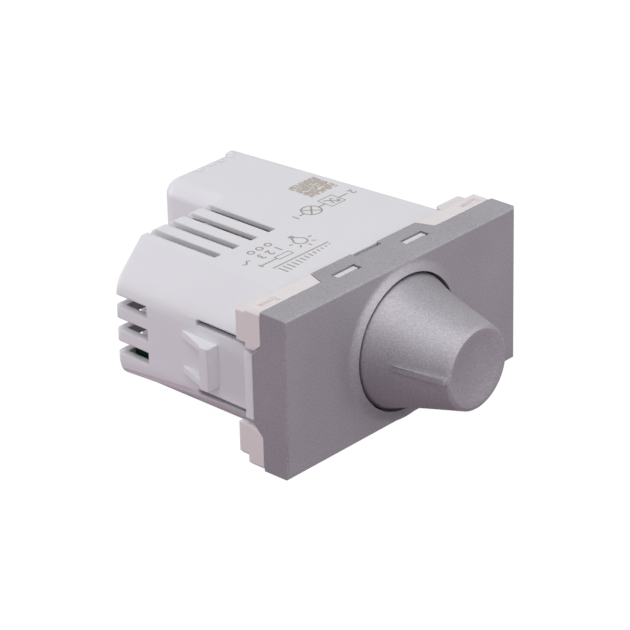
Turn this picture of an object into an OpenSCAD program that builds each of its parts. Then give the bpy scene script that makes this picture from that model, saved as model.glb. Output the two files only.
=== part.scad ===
// Rotary wall dimmer, one module of 45 x 22.5 mm, in millimetres.
// X runs to the right seen from the front, Y to the rear and Z up.
// The origin is the centre of the plate's flat front face, on the knob's axis.

/* [Face plate] */
// Width of the plate and of the whole module
plate_w = 45; // [44:0.5:48]
// Height of the plate and of the whole module
plate_h = 22.4; // [22.2:0.1:24]
// Thickness of the plate's front
plate_front_t = 1.6; // [1.2:0.1:2]
// Thickness of the plate's side walls
plate_wall = 1.4; // [1:0.1:1.6]
// Depth of the plate's side walls at its corners
plate_depth = 4.1; // [3.9:0.1:4.3]
// Bevel round the plate's front
plate_bevel = 0.3; // [0.1:0.1:0.6]
// Depth of the tongues at top and bottom
tongue_depth = 6.85; // [6.6:0.05:7]
// Width of those tongues at their rear edge
tongue_w = 20.2; // [19:0.2:22]
// How much wider the tongues' feet are on each side
tongue_flare = 1; // [0.5:0.1:1.5]
// Depth of the tongues at the two ends
end_tongue_depth = 5.7; // [5.2:0.1:5.8]
// Height of the end tongues at their rear edge
end_tongue_h = 9.8; // [9:0.1:10]
// Width of each hook window
window_w = 4.3; // [3.5:0.1:5]
// Length of each hook window from front to rear
window_l = 1.55; // [1.4:0.05:1.7]
// Distance of the hook windows from the plate's face
window_front = 3.1; // [2.9:0.05:3.3]
// Distance of each hook window from the middle
window_x = 6.6; // [5.8:0.1:7]
// Width of the notch for prising the plate off
pry_w = 5.1; // [4:0.1:6]
// Depth of that notch
pry_depth = 0.9; // [0.5:0.1:1.2]
// Height of the raised rim round the knob
collar_rise = 0.6; // [0.3:0.1:0.8]
// Width of the curve that leads up to the rim
collar_w = 1.6; // [1:0.1:1.7]

/* [Knob] */
// Radius of the knob at the plate
knob_base_r = 9.25; // [8.9:0.05:9.3]
// Radius of the knob at its tip
knob_tip_r = 5.82; // [5:0.02:6.4]
// Distance from the plate's face to the knob's tip
knob_reach = 12.3; // [11:0.1:14]
// How far the knob's skirt sinks behind the plate's face
knob_sink = 2.6; // [2:0.1:2.6]
// Wall of the knob
knob_wall = 1.3; // [1:0.1:1.5]
// Gap between the knob and the plate's hole
knob_gap = 0.25; // [0.2:0.05:0.35]
// Bevel round the tip
tip_bevel = 0.25; // [0.1:0.05:0.4]
// Depth of the dish in the tip
dish_depth = 0.4; // [0.2:0.1:0.6]
// Width of the pointer rib
pointer_w = 0.8; // [0.6:0.1:1.2]
// Height of the pointer rib at the tip
pointer_h = 0.35; // [0.2:0.05:0.5]
// Length of the pointer rib
pointer_l = 7.5; // [5:0.1:9]
// Direction of the pointer at rest, counter-clockwise from the right seen from the front
pointer_angle = 177; // [90:1:225]
// Wall of the hub round the shaft
hub_wall = 1.4; // [1:0.1:1.8]
// Thickness of the ribs inside the knob
knob_rib_t = 0.8; // [0.6:0.1:1.2]
// Distance from the plate's face to the rear end of those ribs
knob_rib_end = 3.1; // [2:0.1:5]

/* [Mounting frame] */
// Thickness of the frame's panel
panel_t = 1.6; // [1.3:0.1:1.6]
// Distance from the plate's face to the rear of the panel
panel_rear = 6.8; // [6.6:0.05:6.8]
// Distance from the plate's face to the seat on the frame's corner lobes
seat_y = 8.9; // [8.6:0.1:9.4]
// How far the lobes stand in from the frame's outline
lobe_inset = 0.6; // [0.4:0.1:0.8]
// Height of the open middle at each end of the frame
end_gap_h = 11; // [10.8:0.1:11.4]
// Bevel along the frame's outer corners
frame_bevel = 0.5; // [0.2:0.1:0.8]
// Length of the recess for a tool in each corner
recess_l = 3.2; // [2.4:0.1:4]
// Width of that recess from front to rear
recess_w = 1.3; // [0.8:0.1:1.4]
// Depth of that recess
recess_depth = 0.5; // [0.3:0.1:0.8]
// Thickness of the hooks that hold the plate
hook_t = 1; // [0.8:0.1:1.3]
// Distance of the housing's arms from the housing's sides
arm_inset = 8.4; // [8:0.1:8.9]
// Width of those arms
arm_w = 3.2; // [2.6:0.1:3.6]
// Thickness of those arms
arm_t = 1; // [0.8:0.1:1.2]
// Distance from the plate's face to the arms' teeth
arm_tooth_y = 9.6; // [9.2:0.1:10]
// Distance from the plate's face to the arms' rear ends
arm_rear = 12; // [11.4:0.1:12.6]
// Gap between pieces that are put together and don't move
fit_gap = 0.1; // [0.05:0.01:0.12]

/* [Housing] */
// How far the housing's sides stand in from the plate's ends
side_inset = 1.6; // [1.5:0.1:2]
// How far the housing's top lies below the plate's
top_inset = 0.2; // [0.1:0.05:0.3]
// How far the housing's bottom lies above the plate's
bottom_inset = 1.2; // [0.8:0.05:1.3]
// Size of the slanted corners
body_chamfer = 5.2; // [4.8:0.1:5.4]
// Size of the slanted top right corner at the rear
rear_chamfer = 7.2; // [6:0.1:8]
// Size of the slanted bottom corners where the low part ends
bottom_rear_chamfer = 3.6; // [3:0.1:5]
// Size of the soft edges beside the slants
corner_soft = 1.6; // [0.8:0.1:2]
// Draft of the side walls, in degrees
body_draft = 1.5; // [0.5:0.1:2]
// Wall of the housing
wall = 1.2; // [1:0.1:1.3]
// Distance from the plate's face to the rear of the low part
low_rear = 32.8; // [32:0.1:33]
// Radius of the low part's rear edges
low_round = 1; // [0.6:0.1:1.1]
// Distance from the plate's face to the rear of the tower
tower_rear = 43.3; // [43:0.1:44]
// Width of the tower at the housing's front
tower_w = 21.7; // [21.4:0.1:22]
// Radius of the tower's upright rear edges and of its left edges
tower_round = 2.4; // [1.4:0.1:2.6]
// Radius of the tower's top and bottom rear edges
tower_top_round = 1.3; // [1:0.1:1.6]
// Number of comb slots in the top
comb_count = 4; // [2:1:4]
// Width of a comb slot
comb_w = 1.3; // [1:0.1:1.6]
// Distance from one comb slot to the next
comb_pitch = 3.4; // [3.2:0.1:3.6]
// Distance from the last comb slot to the tower
comb_gap = 1.85; // [1.6:0.05:2.1]
// Front end of the comb slots
comb_front = 19.9; // [19:0.1:22]
// Depth of the comb slots down the rear wall
comb_drop = 6.5; // [3:0.5:8]
// Thickness of the top between the slots over the choke
comb_skin = 0.72; // [0.6:0.02:0.9]
// Number of slots round the rear left edge
edge_slot_count = 3; // [1:1:3]
// Height of each of those slots
edge_slot_h = 1.8; // [1.2:0.05:2]
// Distance from one of them to the next
edge_slot_pitch = 3.35; // [3:0.05:3.5]
// Front end of the edge slots
edge_slot_front = 26.5; // [25:0.1:28]
// Length of the edge slots along the rear wall
edge_slot_run = 4.9; // [4:0.1:5.2]
// Number of vents in the tower's rear
vent_count = 4; // [2:1:4]
// Width of a vent
vent_w = 1; // [0.8:0.1:1.2]
// Distance from one vent to the next
vent_pitch = 2.05; // [1.9:0.05:2.2]
// Distance from the tower's left side to the middle of the first vent
vent_inset = 5.8; // [5.4:0.1:6.2]
// Height of the vents' lower ends above the middle
vent_bottom = 4.2; // [4:0.1:6]
// Radius of the edge over the vents
vent_round = 2.4; // [2.2:0.1:3]
// How much larger the radius is in the flute over each vent
vent_flute = 0.6; // [0.4:0.1:0.8]
// Width of the posts under the circuit board
post_w = 2.4; // [2:0.1:2.4]
// Height of those posts above the floor
post_h = 3.55; // [3.4:0.05:3.6]
// Radius of the holes for a screwdriver
access_r = 2.2; // [2.1:0.05:2.25]

/* [Snap latches] */
// Height of a latch tongue
latch_h = 9.1; // [8.5:0.1:9.3]
// Rear end of the slots beside the tongue
latch_slot_rear = 17.4; // [17:0.1:18]
// Place of the tongue's root, where it bends
latch_root = 20.2; // [20:0.1:20.6]
// Height of the root
latch_neck_h = 6.6; // [6.4:0.1:7.2]
// Depth behind the housing's side that stays free for the tongues
latch_room = 3.7; // [3.4:0.1:3.9]
// Height of the tooth
tooth_h = 6.1; // [5.6:0.1:6.2]
// How far the tooth stands out of the wall
tooth_out = 2; // [1.5:0.1:2.1]
// Place of the tooth's front shoulder
tooth_front = 13.4; // [13:0.1:14]
// Depth of the tooth's solid block
tooth_block = 1.5; // [1.2:0.1:2]
// Rear end of the tooth's two ramps
tooth_ramp_rear = 19.9; // [19:0.1:19.9]
// Thickness of each ramp
ramp_t = 1; // [0.8:0.1:1.2]
// Distance of the latch's end lip from the plate's face
lip_front = 5.95; // [5.9:0.05:6.2]
// Length of the end lip
lip_l = 2.5; // [2.2:0.1:2.7]
// Height of the end lip
lip_h = 9.4; // [9:0.1:9.8]
// How far the end lip stands out of the wall
lip_out = 1.3; // [1:0.1:1.5]

/* [Potentiometer] */
// Radius of the shaft
shaft_r = 3; // [2.9:0.05:3.1]
// Distance from the shaft's axis to its flat side
shaft_flat = 1.6; // [1.4:0.1:2.2]
// Running clearance round the shaft
shaft_clear = 0.06; // [0.03:0.01:0.09]
// Radius of the threaded bushing
bushing_r = 3.9; // [3.7:0.1:4]
// Width of the nut across its flats
nut_flats = 10.6; // [10:0.1:11]
// Thickness of the nut
nut_t = 1.6; // [1.2:0.1:1.6]
// Thickness of the washer
washer_t = 0.4; // [0.3:0.1:0.4]
// Gap between the square mounting plate and the housing's bottom wall
pot_gap = 0.4; // [0.3:0.1:0.6]
// Thickness of the mounting plate
pot_plate_t = 1.2; // [1:0.1:1.4]
// How far the metal cover stands in from the mounting plate's edge
cover_inset = 0.3; // [0.2:0.1:0.6]
// Length of the metal cover
pot_cover_l = 4.9; // [4.6:0.1:5]
// Thickness of the cover's sheet
cover_t = 0.4; // [0.3:0.1:0.5]
// Thickness of the wafer that carries the track
wafer_t = 1; // [0.8:0.1:1.2]
// Thickness of the rotor
rotor_t = 1.4; // [1.2:0.1:1.6]
// Distance from the track to the wafer's edge
track_inset = 1.75; // [1.6:0.05:1.95]
// Width of the resistance track
track_w = 1.4; // [1:0.1:1.6]
// Angle that the resistance track covers
track_angle = 280; // [270:1:300]
// Distance from one solder lug to the next
lug_pitch = 2.5; // [2.3:0.1:3]
// Width of a solder lug
lug_w = 1; // [0.8:0.1:1.2]
// Length of a solder lug on the circuit board
lug_l = 1.4; // [1:0.1:1.6]

/* [Circuit] */
// Thickness of the circuit board
board_t = 1.6; // [1.2:0.1:1.6]
// Gap beside the circuit board, where the latches give way
board_gap = 1.8; // [1.6:0.1:2.2]
// Radius of the soldered leads
lead_r = 0.3; // [0.2:0.05:0.35]
// Gap between the choke and the housing's top
choke_gap = 0.75; // [0.5:0.05:1.5]
// Width of the choke's wound ring
choke_w = 5.4; // [5:0.1:5.8]
// Radius of the hole in the wound ring
choke_bore = 2.2; // [1.8:0.1:2.6]
// Thickness of the winding
wind_t = 0.7; // [0.5:0.1:0.9]
// Width of the film capacitor
film_cap_w = 4.5; // [4:0.1:5]
// Length of the film capacitor
film_cap_l = 11.5; // [10:0.1:12]
// Height of the film capacitor
film_cap_h = 10; // [8:0.1:10.4]
// Length of the timing capacitor
small_cap_l = 7.2; // [6:0.1:7.6]
// Width of the timing capacitor
small_cap_w = 2.5; // [2:0.1:3]
// Height of the timing capacitor
small_cap_h = 5; // [4:0.1:5.4]
// Radius of a resistor's body
resistor_r = 1.2; // [0.9:0.1:1.3]
// Length of a resistor's body
resistor_l = 6.5; // [5.5:0.1:6.5]
// Number of resistors
resistor_count = 3; // [1:1:3]
// Distance from one resistor to the next
resistor_pitch = 3.4; // [3:0.1:3.5]
// Radius of the trigger diode
diac_r = 0.95; // [0.8:0.05:1]
// Length of the trigger diode
diac_l = 4; // [3.4:0.1:4.4]
// Radius of the fuse's caps
fuse_r = 1.9; // [1.5:0.1:2.1]
// Length of the fuse
fuse_l = 9; // [8:0.1:9.4]
// Length of a fuse cap
fuse_cap_l = 1.8; // [1.4:0.1:2.2]
// Width of the triac
triac_w = 10; // [9.6:0.1:10.4]
// Length of the triac's moulded body
triac_body_l = 9; // [8.6:0.1:9.2]
// Thickness of the triac's moulded body
triac_body_t = 4.3; // [4:0.1:4.6]
// Length of the triac's tab
triac_tab_l = 6.4; // [6.2:0.1:6.6]
// Thickness of the triac's tab
triac_tab_t = 1.3; // [1.1:0.1:1.5]
// Radius of the screw through the tab
tab_screw_r = 1.5; // [1.25:0.05:1.5]
// Thickness of the heat sink's sheet
sink_t = 1.3; // [1:0.1:1.4]
// Gap between the heat sink and the housing's top
sink_gap = 1.9; // [1.8:0.1:2.2]
// Length of the heat sink's leg
sink_leg_l = 8; // [5:0.1:9]

/* [Terminals] */
// Distance from one terminal to the next
terminal_pitch = 4.6; // [4.5:0.05:4.7]
// Distance from the tower's left side to the middle terminal
terminal_inset = 9.3; // [9.2:0.05:9.5]
// Distance of the terminal screws from the plate's face
terminal_y = 36.8; // [36.6:0.1:37.1]
// Radius of a wire entry
wire_r = 1.6; // [1.3:0.05:1.7]
// Height of the wire entries above the middle
entry_z = 0.2; // [0.2:0.05:0.4]
// Thickness of the contact bars
contact_t = 0.7; // [0.6:0.1:0.9]
// Width of the contact bars
contact_w = 2.3; // [2:0.1:2.4]
// Width of a clamp cage
cage_w = 3.6; // [3.4:0.05:3.7]
// Depth of a clamp cage
cage_d = 3.8; // [3.4:0.1:3.9]
// Thickness of a clamp cage's sides
cage_side = 0.5; // [0.4:0.05:0.5]
// Thickness of a clamp cage's threaded plate
cage_plate = 1.2; // [1:0.1:1.3]
// Travel of a clamp cage
cage_travel = 1.35; // [1:0.05:1.4]
// Thread radius of a terminal screw
screw_r = 1.25; // [1.1:0.05:1.3]
// Radius of a terminal screw's head
screw_head_r = 1.85; // [1.7:0.05:1.9]
// Height of a terminal screw's head
screw_head_h = 1.4; // [1.2:0.1:1.5]
// Width of the slots in the screw heads
driver_slot_w = 0.7; // [0.6:0.05:0.8]

/* [Hidden] */
$fn = 64;
// Overlap that joins two shapes of one piece
eps = 0.01;
// How far a cutting shape runs past what it cuts
cut = 1;
// Gap between faces that rest on each other
rest_gap = 0.05;
half_w = plate_w / 2;
half_h = plate_h / 2;
body_w = plate_w - 2 * side_inset;
body_top = half_h - top_inset;
body_bottom = half_h - bottom_inset;
floor_z = -body_bottom + wall;
ceiling_z = body_top - wall;
tower_left = body_w / 2 - tower_w;

// Colours, as the photograph shows them outside
grey_paint = [0.55, 0.53, 0.55];
frame_white = [0.87, 0.85, 0.84];
housing_white = [0.88, 0.88, 0.9];
steel = [0.72, 0.72, 0.74];
brass = [0.8, 0.66, 0.38];
aluminium = [0.78, 0.79, 0.8];
copper = [0.72, 0.4, 0.18];
iron_powder = [0.8, 0.75, 0.35];
black_plastic = [0.2, 0.2, 0.22];
black_epoxy = [0.12, 0.12, 0.13];
carbon = [0.12, 0.12, 0.12];
phenolic = [0.55, 0.33, 0.16];
green_laminate = [0.1, 0.36, 0.2];
film_yellow = [0.85, 0.75, 0.3];
case_blue = [0.2, 0.3, 0.55];
resistor_tan = [0.75, 0.66, 0.5];
ceramic = [0.9, 0.88, 0.82];
terminal_grey = [0.8, 0.8, 0.78];

// Draws a flat shape of X and Z between two depths
module along_y(y0, y1) {
    translate([0, y1, 0]) rotate([90, 0, 0]) linear_extrude(y1 - y0) children();
}

// A round bar along Y
module bar_y(r, y0, y1) {
    translate([0, y1, 0]) rotate([90, 0, 0]) cylinder(r = r, h = y1 - y0);
}

// A turned piece round the Y axis, from points of radius and depth
module turned_y(points) {
    rotate([-90, 0, 0]) rotate_extrude() polygon(points);
}

// A block between two corners
module block(low, high) {
    translate(low) cube(high - low);
}

// Copies a shape to the left side too
module both_sides() {
    children();
    mirror([1, 0, 0]) children();
}

// Copies a shape to the bottom too
module top_and_bottom() {
    children();
    mirror([0, 0, 1]) children();
}

// Face plate
hole_r = knob_base_r + knob_gap;
window_rear = window_front + window_l;
end_tongue_flare = end_tongue_depth - plate_depth;
collar_steps = 6;

module plate_tongue(gap) {
    // Outline of a top tongue in X and Y, widened by a gap
    foot = tongue_w / 2 + tongue_flare + gap;
    end = tongue_w / 2 + gap;
    polygon([[-foot, plate_depth - eps], [-end, tongue_depth],
        [end, tongue_depth], [foot, plate_depth - eps]]);
}

module end_tongue(gap) {
    // Outline of an end tongue in Y and Z, widened by a gap
    h = end_tongue_h / 2 + gap;
    polygon([
        [plate_depth - eps, -h - end_tongue_flare], [end_tongue_depth + gap, -h],
        [end_tongue_depth + gap, h], [plate_depth - eps, h + end_tongue_flare]]);
}

module collar_ring() {
    // The plate's face curves up to the rim of the knob's hole
    turned_y(concat(
        [[hole_r, plate_front_t]],
        [for (i = [0:collar_steps])
            let (s = i / collar_steps) [hole_r + collar_w * s, -collar_rise * pow(1 - s, 2)]],
        [[hole_r + collar_w, plate_front_t]]));
}

module plate_shell() {
    hull() {
        along_y(0, eps) square([plate_w - 2 * plate_bevel, plate_h - 2 * plate_bevel], center = true);
        along_y(plate_bevel, plate_depth) square([plate_w, plate_h], center = true);
    }
    top_and_bottom() translate([0, 0, half_h - plate_wall]) linear_extrude(plate_wall) plate_tongue(0);
    both_sides() translate([half_w - plate_wall, 0, 0])
        rotate([90, 0, 90]) linear_extrude(plate_wall) end_tongue(0);
}

module face_plate() {
    color(grey_paint) {
        difference() {
            plate_shell();
            along_y(plate_front_t, tongue_depth + cut)
                square([plate_w - 2 * plate_wall, plate_h - 2 * plate_wall], center = true);
            bar_y(hole_r + collar_w / 2, -cut, plate_front_t + cut);
            top_and_bottom() {
                for (side = [-1, 1])
                    block([side * window_x - window_w / 2, window_front, half_h - plate_wall - cut],
                        [side * window_x + window_w / 2, window_rear, half_h + cut]);
                block([-pry_w / 2, tongue_depth - pry_depth, half_h - plate_wall - cut],
                    [pry_w / 2, tongue_depth + cut, half_h + cut]);
            }
        }
        intersection() {
            collar_ring();
            along_y(-collar_rise - cut, plate_front_t + cut) square([plate_w, plate_h], center = true);
        }
    }
}

// Knob
knob_steps = 7;
hub_r = shaft_r + hub_wall;
hub_rear = knob_sink - 0.1;
bore_gap = 0.03;
tip_wall = 2 * knob_wall;
shaft_front = tip_wall - knob_reach;
bore_end = shaft_front - 0.2;
flat_rear = hub_rear + 0.2;

// Radius and depth of the knob's flank, from the tip at 0 to the plate at 1
function knob_r(t) = knob_tip_r + (knob_base_r - knob_tip_r) * (0.86 * t + 0.14 * pow(t, 6));
function knob_y(t) = -knob_reach + tip_bevel + (knob_reach - tip_bevel) * t;

module shaft_section(gap) {
    // Round shaft with one flat side, in X and Z
    difference() {
        circle(r = shaft_r + gap);
        translate([-shaft_r - cut, shaft_flat + gap]) square([2 * shaft_r + 2 * cut, shaft_r + cut]);
    }
}

module knob_form() {
    turned_y(concat(
        [[0, -knob_reach + dish_depth], [knob_tip_r / 2, -knob_reach + 0.7 * dish_depth],
            [knob_tip_r - 2 * tip_bevel, -knob_reach]],
        [for (i = [0:knob_steps]) [knob_r(i / knob_steps), knob_y(i / knob_steps)]],
        [[knob_base_r, knob_sink], [0, knob_sink]]));
}

module knob_hollow() {
    // Space between the knob's wall, its hub and its ribs
    difference() {
        turned_y(concat(
            [[0, -knob_reach + tip_wall]],
            [for (i = [1:knob_steps])
                [knob_r(i / knob_steps) - knob_wall, knob_y(i / knob_steps) + 0.8 * knob_wall]],
            [[knob_base_r - knob_wall, knob_sink + cut], [0, knob_sink + cut]]));
        bar_y(hub_r, -knob_reach, hub_rear);
        for (a = [0, 60, 120]) rotate([0, a, 0])
            block([-knob_base_r, -knob_reach, -knob_rib_t / 2], [knob_base_r, -knob_rib_end, knob_rib_t / 2]);
    }
}

module pointer() {
    // Raised rib that grows out of the knob's flank towards its tip, along +X
    share = pointer_l / (knob_reach - tip_bevel);
    translate([0, 0, -pointer_w / 2]) linear_extrude(pointer_w) polygon([
        [knob_tip_r - cut, knob_y(0)], [knob_tip_r + pointer_h, knob_y(0)],
        [knob_r(share), knob_y(share)], [knob_r(share) - cut, knob_y(share)]]);
}

module knob() {
    color(grey_paint) difference() {
        rotate([0, -pointer_angle, 0]) difference() {
            union() {
                knob_form();
                pointer();
            }
            knob_hollow();
        }
        along_y(bore_end, knob_sink + cut) shaft_section(bore_gap);
    }
}

// Mounting frame
panel_front = panel_rear - panel_t;
deck_half_w = half_w - plate_wall - 2 * fit_gap;
deck_half_h = half_h - plate_wall - 2 * fit_gap;
flex_x = body_w / 2 - latch_room;
lobe_foot = end_gap_h / 2 + 0.3;
recess_front = plate_depth + 0.6;
recess_side = half_w - 1.4;
hook_top = half_h - 0.25;
hook_front = plate_front_t + 2 * fit_gap;
arm_gap = 0.2;
arm_x = body_w / 2 - arm_inset;
arm_low = floor_z + arm_gap;
arm_tooth_low = -body_bottom + 0.4;
arm_tooth_t = 0.5;

module corner_block() {
    // Top right corner of the frame, flush with the plate
    inner = tongue_w / 2 + eps;
    difference() {
        union() {
            along_y(plate_depth + fit_gap, panel_rear) polygon([
                [inner, end_gap_h / 2], [half_w, end_gap_h / 2], [half_w, half_h - frame_bevel],
                [half_w - frame_bevel, half_h], [inner, half_h]]);
            lobe();
        }
        translate([0, 0, half_h - plate_wall - fit_gap]) linear_extrude(plate_wall + cut)
            plate_tongue(fit_gap);
        translate([half_w - plate_wall - fit_gap, 0, 0]) rotate([90, 0, 90])
            linear_extrude(plate_wall + cut) end_tongue(fit_gap);
        block([recess_side - recess_l, recess_front, half_h - recess_depth],
            [recess_side, recess_front + recess_w, half_h + cut]);
    }
}

module lobe() {
    // Fills the housing's slanted corner and carries the seat
    x1 = half_w - lobe_inset;
    z1 = half_h - lobe_inset;
    slant_sum = body_w / 2 - body_chamfer + body_top + 2 * fit_gap;
    start = slant_sum - z1;
    intersection() {
        along_y(panel_rear - cut, seat_y) polygon([
            [start, z1], [x1 - lobe_inset, z1], [x1, z1 - lobe_inset],
            [x1, lobe_foot], [slant_sum - lobe_foot, lobe_foot]]);
        linear_extrude(half_h) polygon([
            [start - 0.7, panel_rear - cut], [start - 0.7, panel_rear], [start + 0.6, seat_y],
            [half_w, seat_y], [half_w, panel_rear - cut]]);
    }
}

module plate_hook() {
    // Springy hook at the top that holds the plate by its window
    w = window_w - 2 * fit_gap;
    translate([-w / 2, 0, 0]) rotate([90, 0, 90]) linear_extrude(w) polygon([
        [panel_front + eps, deck_half_h - hook_t], [panel_front + eps, deck_half_h],
        [window_rear - fit_gap, deck_half_h], [window_rear - fit_gap, hook_top],
        [window_rear - 0.9, hook_top], [window_front + fit_gap, deck_half_h],
        [hook_front, deck_half_h - 0.3], [hook_front, deck_half_h - hook_t]]);
}

module housing_arm() {
    // Springy arm at the bottom that holds the housing by its window
    translate([arm_x - arm_w / 2, 0, 0]) rotate([90, 0, 90]) linear_extrude(arm_w) polygon([
        [panel_rear - eps, arm_low + arm_t], [panel_rear - eps, arm_low],
        [arm_tooth_y, arm_low], [arm_tooth_y, arm_tooth_low],
        [arm_tooth_y + arm_tooth_t, arm_tooth_low], [arm_rear, arm_low], [arm_rear, arm_low + arm_t]]);
}

module mounting_frame() {
    color(frame_white) {
        difference() {
            union() {
                along_y(panel_front, panel_rear) square([2 * deck_half_w, 2 * deck_half_h], center = true);
                top_and_bottom() both_sides() corner_block();
            }
            both_sides() block([flex_x, 0, -end_gap_h / 2], [half_w + cut, seat_y + cut, end_gap_h / 2]);
            bar_y(bushing_r + fit_gap, panel_front - cut, panel_rear + cut);
        }
        top_and_bottom() for (side = [-1, 1]) translate([side * window_x, 0, 0]) plate_hook();
        both_sides() housing_arm();
    }
}

// Potentiometer
pot_plate_y0 = panel_rear + rest_gap;
pot_plate_y1 = pot_plate_y0 + pot_plate_t;
cover_y0 = pot_plate_y1 + rest_gap;
cover_y1 = cover_y0 + pot_cover_l;
pot_square = -2 * (floor_z + pot_gap);
pot_cover_r = pot_square / 2 - cover_inset;
wafer_y0 = cover_y1 - wafer_t;
wafer_r = pot_cover_r - cover_t - rest_gap;
track_r = wafer_r - track_inset - track_w / 2;
rotor_y0 = pot_plate_y1 + 0.3;
rotor_y1 = rotor_y0 + rotor_t;
rotor_r = track_r + 1.3;
rotor_hub_r = shaft_r + 0.3;
bushing_front = knob_sink + 0.45;
washer_r = nut_flats / 2 + 0.4;
nut_y1 = panel_front - washer_t - 2 * rest_gap;
track_t = 0.15;
wiper_w = 1.6;
wiper_t = 0.25;
wiper_angle = 35;
lug_t = 0.5;

module pot_shaft() {
    color(steel) {
        along_y(shaft_front, flat_rear) shaft_section(0);
        bar_y(shaft_r, flat_rear - eps, rotor_y1 + 0.4);
    }
}

module pot_rotor() {
    color(black_plastic) difference() {
        union() {
            bar_y(rotor_r, rotor_y0, rotor_y1);
            bar_y(rotor_hub_r, rotor_y0, rotor_y1 + 0.6);
        }
        bar_y(shaft_r + bore_gap, rotor_y0 - cut, rotor_y1 + cut);
    }
}

module wiper_spring() {
    // Thin strip of metal on the rotor with its contact just off the track
    y0 = rotor_y1 + rest_gap;
    y1 = y0 + wiper_t;
    tip_y = wafer_y0 - track_t - 0.1;
    inner = shaft_r + 1.5;
    outer = rotor_r - 0.6;
    color(brass) rotate([0, wiper_angle, 0]) translate([0, 0, -wiper_w / 2]) linear_extrude(wiper_w)
        polygon([
            [inner, y0], [outer, y0], [outer, y1], [track_r + track_w / 2, y1],
            [track_r + wiper_t, tip_y], [track_r - wiper_t, tip_y], [track_r - track_w / 2, y1],
            [inner, y1]]);
}

module pot_bushing() {
    color(brass) difference() {
        union() {
            along_y(pot_plate_y0, pot_plate_y1) square(pot_square, center = true);
            bar_y(bushing_r, bushing_front, pot_plate_y0 + eps);
        }
        bar_y(shaft_r + shaft_clear, bushing_front - cut, pot_plate_y1 + cut);
    }
}

module pot_washer() {
    color(steel) difference() {
        bar_y(washer_r, panel_front - washer_t - rest_gap, panel_front - rest_gap);
        bar_y(bushing_r + rest_gap, 0, panel_front + cut);
    }
}

module pot_nut() {
    color(steel) difference() {
        along_y(nut_y1 - nut_t, nut_y1) circle(d = nut_flats / cos(30), $fn = 6);
        bar_y(bushing_r + rest_gap, 0, panel_front + cut);
    }
}

module pot_cover() {
    color(steel) difference() {
        bar_y(pot_cover_r, cover_y0, cover_y1);
        bar_y(pot_cover_r - cover_t, cover_y0 - cut, cover_y1 + cut);
    }
}

module pot_wafer() {
    color(phenolic) {
        bar_y(wafer_r, wafer_y0, cover_y1);
        for (i = [-1, 0, 1])
            block([i * lug_pitch - lug_w / 2, wafer_y0 + wafer_t / 3, board_face],
                [i * lug_pitch + lug_w / 2, board_front + lug_l, board_face + lug_t]);
    }
}

module resistance_track() {
    color(carbon) translate([0, wafer_y0, 0]) rotate([90, 0, 0]) rotate([0, 0, 90 - track_angle / 2])
        rotate_extrude(angle = track_angle) translate([track_r - track_w / 2, 0.02])
            square([track_w, track_t - 0.02]);
}

// Rear housing
body_front = tongue_depth;
draft_slope = tan(body_draft);
post_inset = 4.5;
board_front = cover_y1 + 0.9;
board_rear = low_rear - wall - fit_gap;
board_x = body_w / 2 - wall - board_gap;
board_under = floor_z + post_h + rest_gap;
board_top = board_under + board_t;
board_face = board_top + rest_gap;
post_x = board_x - 0.5 - post_w / 2;
lap_x = tower_left + 5;
outside = body_w / 2 + cut;

// Half width of the housing at a depth, inside a skin
function side_x(y, skin) = body_w / 2 - draft_slope * (y - body_front) - skin;

module slant(angle, reach, slope) {
    // Takes away what lies past a leaning plane. Its normal is at an angle from X towards Z,
    // and it is a reach away from the middle at the front, less a slope towards the rear
    rotate([0, -angle, 0]) translate([reach, body_front, 0]) rotate([0, 0, atan(slope)])
        translate([0, -body_w, -body_w]) cube([body_w, 4 * body_w, 2 * body_w]);
}

module slanted_corner(height, size, growth, skin) {
    // Cuts the corner at the right, this far above the middle, and softens both its edges
    x = body_w / 2;
    soft = corner_soft * (1 / cos(22.5) - 1);
    slant(45, (x + height - size) / sqrt(2) - skin, (draft_slope + growth) / sqrt(2));
    slant(22.5, x * cos(22.5) + (height - size) * sin(22.5) - skin - soft,
        draft_slope * cos(22.5) + growth * sin(22.5));
    slant(67.5, (x - size) * cos(67.5) + height * sin(67.5) - skin - soft,
        (draft_slope + growth) * cos(67.5));
}

module fillet_cut(r, length) {
    // What a round of this radius takes from an edge that runs up along Z, inside to the left and front
    translate([0, 0, -cut]) linear_extrude(length + 2 * cut) difference() {
        translate([-r, -r]) square(r + cut);
        translate([-r, -r]) circle(r);
    }
}

module ball_cut(r) {
    // What a ball of this radius takes from a corner, inside to the right, the front and below
    difference() {
        translate([-cut, -r, -r]) cube(r + cut);
        translate([r, -r, -r]) sphere(r);
    }
}

module tower_rounds(skin, rear) {
    r = max(tower_round - skin, 0.2);
    top_r = max(tower_top_round - skin, 0.2);
    left = tower_left + skin;
    top = body_top - skin;
    bottom = -body_bottom + skin;
    right = side_x(rear, skin);
    translate([left, rear, bottom]) mirror([1, 0, 0]) fillet_cut(r, top - bottom);
    translate([right, rear, bottom]) fillet_cut(r, top - bottom);
    translate([left, rear, top]) rotate([0, 90, 0]) mirror([1, 0, 0]) fillet_cut(top_r, right - left);
    translate([left, rear, bottom]) rotate([0, 90, 0]) fillet_cut(r, right - left);
    translate([left, rear, top]) rotate([90, 0, 0]) mirror([1, 0, 0]) fillet_cut(r, rear - low_rear);
    translate([left, rear, bottom]) rotate([90, 0, 0]) mirror([1, 0, 0]) mirror([0, 1, 0])
        fillet_cut(r, rear - low_rear);
    if (skin == 0) for (side = [0, 1])
        translate([left, rear, side * (top - bottom) + bottom]) mirror([0, 0, 1 - side]) ball_cut(r);
}

module rear_round(angle, reach) {
    // Rounds the low part's rear edge beside a face. The face's normal is at an angle from X
    // towards Z, and the face is a reach away from the middle
    rotate([0, -angle, 0]) translate([reach, low_rear, -body_w]) fillet_cut(low_round, 2 * body_w);
}

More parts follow.
